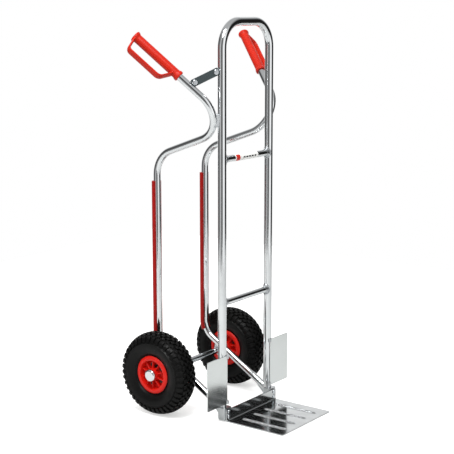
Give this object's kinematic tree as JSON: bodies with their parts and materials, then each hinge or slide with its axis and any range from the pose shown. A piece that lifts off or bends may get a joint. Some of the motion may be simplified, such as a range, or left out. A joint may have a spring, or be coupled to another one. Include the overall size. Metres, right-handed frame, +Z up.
{
  "type": "hand truck",
  "caption": "Upright two-wheeled hand truck with a tall hoop frame, swept-back handle tubes with guarded grips, stair-slide strips, wheel guards and a ribbed toe plate.",
  "frame": {"origin": "floor level under the middle of the footprint; the toe plate and both wheels stand on z = 0", "axes": "+Z up, -Y the side the toe plate points to, +Y to the grips and wheels, X across with the axle"},
  "size_m": [0.6268, 0.5561, 1.214],
  "materials": {
    "polished_aluminium": "polished drawn tube",
    "weld_aluminium": "satin weld metal and sawn plate",
    "rolled_aluminium": "mill finish sheet",
    "cast_aluminium": "as cast",
    "satin_aluminium": "satin sheet",
    "zinc_steel": "bright zinc plate",
    "bearing_steel": "ground",
    "bright_cap": "bright nickel",
    "valve_brass": "turned brass",
    "red_plastic": "moulded, half gloss",
    "red_rim": "moulded, half gloss",
    "red_strip": "extruded",
    "dark_strut": "dark grey powder coat",
    "black_plastic": "moulded",
    "sticker": null,
    "tyre": "moulded rubber",
    "tube_rubber": "butyl"
  },
  "bodies": {
    "frame": {"axle": "zinc_steel", "axle_bracket_left": "weld_aluminium", "axle_bracket_right": "weld_aluminium", "axle_spacer_left": "zinc_steel", "axle_spacer_right": "zinc_steel", "axle_washers": "zinc_steel", "blank_sticker": "sticker", "crossbar_collars": "weld_aluminium", "foot_gusset_left": "weld_aluminium", "foot_gusset_right": "weld_aluminium", "grip_left": "red_plastic", "grip_right": "red_plastic", "guard_plate_left": "satin_aluminium", "guard_plate_right": "satin_aluminium", "guard_welds": "weld_aluminium", "handle_lug_left": "weld_aluminium", "handle_lug_right": "weld_aluminium", "handle_tube_left": "polished_aluminium", "handle_tube_right": "polished_aluminium", "hoop_foot_plugs": "black_plastic", "hoop_frame": "polished_aluminium", "hub_cap_left": "bright_cap", "hub_cap_right": "bright_cap", "lower_crossbar": "polished_aluminium", "slide_strip_left": "red_strip", "slide_strip_right": "red_strip", "strut_bolts_left": "zinc_steel", "strut_bolts_right": "zinc_steel", "strut_left": "dark_strut", "strut_lugs_left": "weld_aluminium", "strut_lugs_right": "weld_aluminium", "strut_nuts_left": "zinc_steel", "strut_nuts_right": "zinc_steel", "strut_right": "dark_strut", "toe_bolts": "zinc_steel", "toe_foot_left": "cast_aluminium", "toe_foot_right": "cast_aluminium", "toe_plate": "rolled_aluminium", "upper_crossbar": "polished_aluminium"},
    "wheel_left": {"bearing_inner_left": "bearing_steel", "bearing_outer_left": "bearing_steel", "hub_sleeve_left": "zinc_steel", "inner_tube_left": "tube_rubber", "rim_bolts_left": "zinc_steel", "rim_inner_left": "red_rim", "rim_nuts_left": "zinc_steel", "rim_outer_left": "red_rim", "tyre_left": "tyre", "valve_left": "valve_brass"},
    "wheel_right": {"bearing_inner_right": "bearing_steel", "bearing_outer_right": "bearing_steel", "hub_sleeve_right": "zinc_steel", "inner_tube_right": "tube_rubber", "rim_bolts_right": "zinc_steel", "rim_inner_right": "red_rim", "rim_nuts_right": "zinc_steel", "rim_outer_right": "red_rim", "tyre_right": "tyre", "valve_right": "valve_brass"}
  },
  "joints": [
    {"name": "wheel_left_spin", "type": "hinge", "parent": "frame", "child": "wheel_left", "pos_m": [-0.188, 0.148, 0.13], "axis": [1, 0, 0], "continuous": true},
    {"name": "wheel_right_spin", "type": "hinge", "parent": "frame", "child": "wheel_right", "pos_m": [0.188, 0.148, 0.13], "axis": [1, 0, 0], "continuous": true}
  ]
}
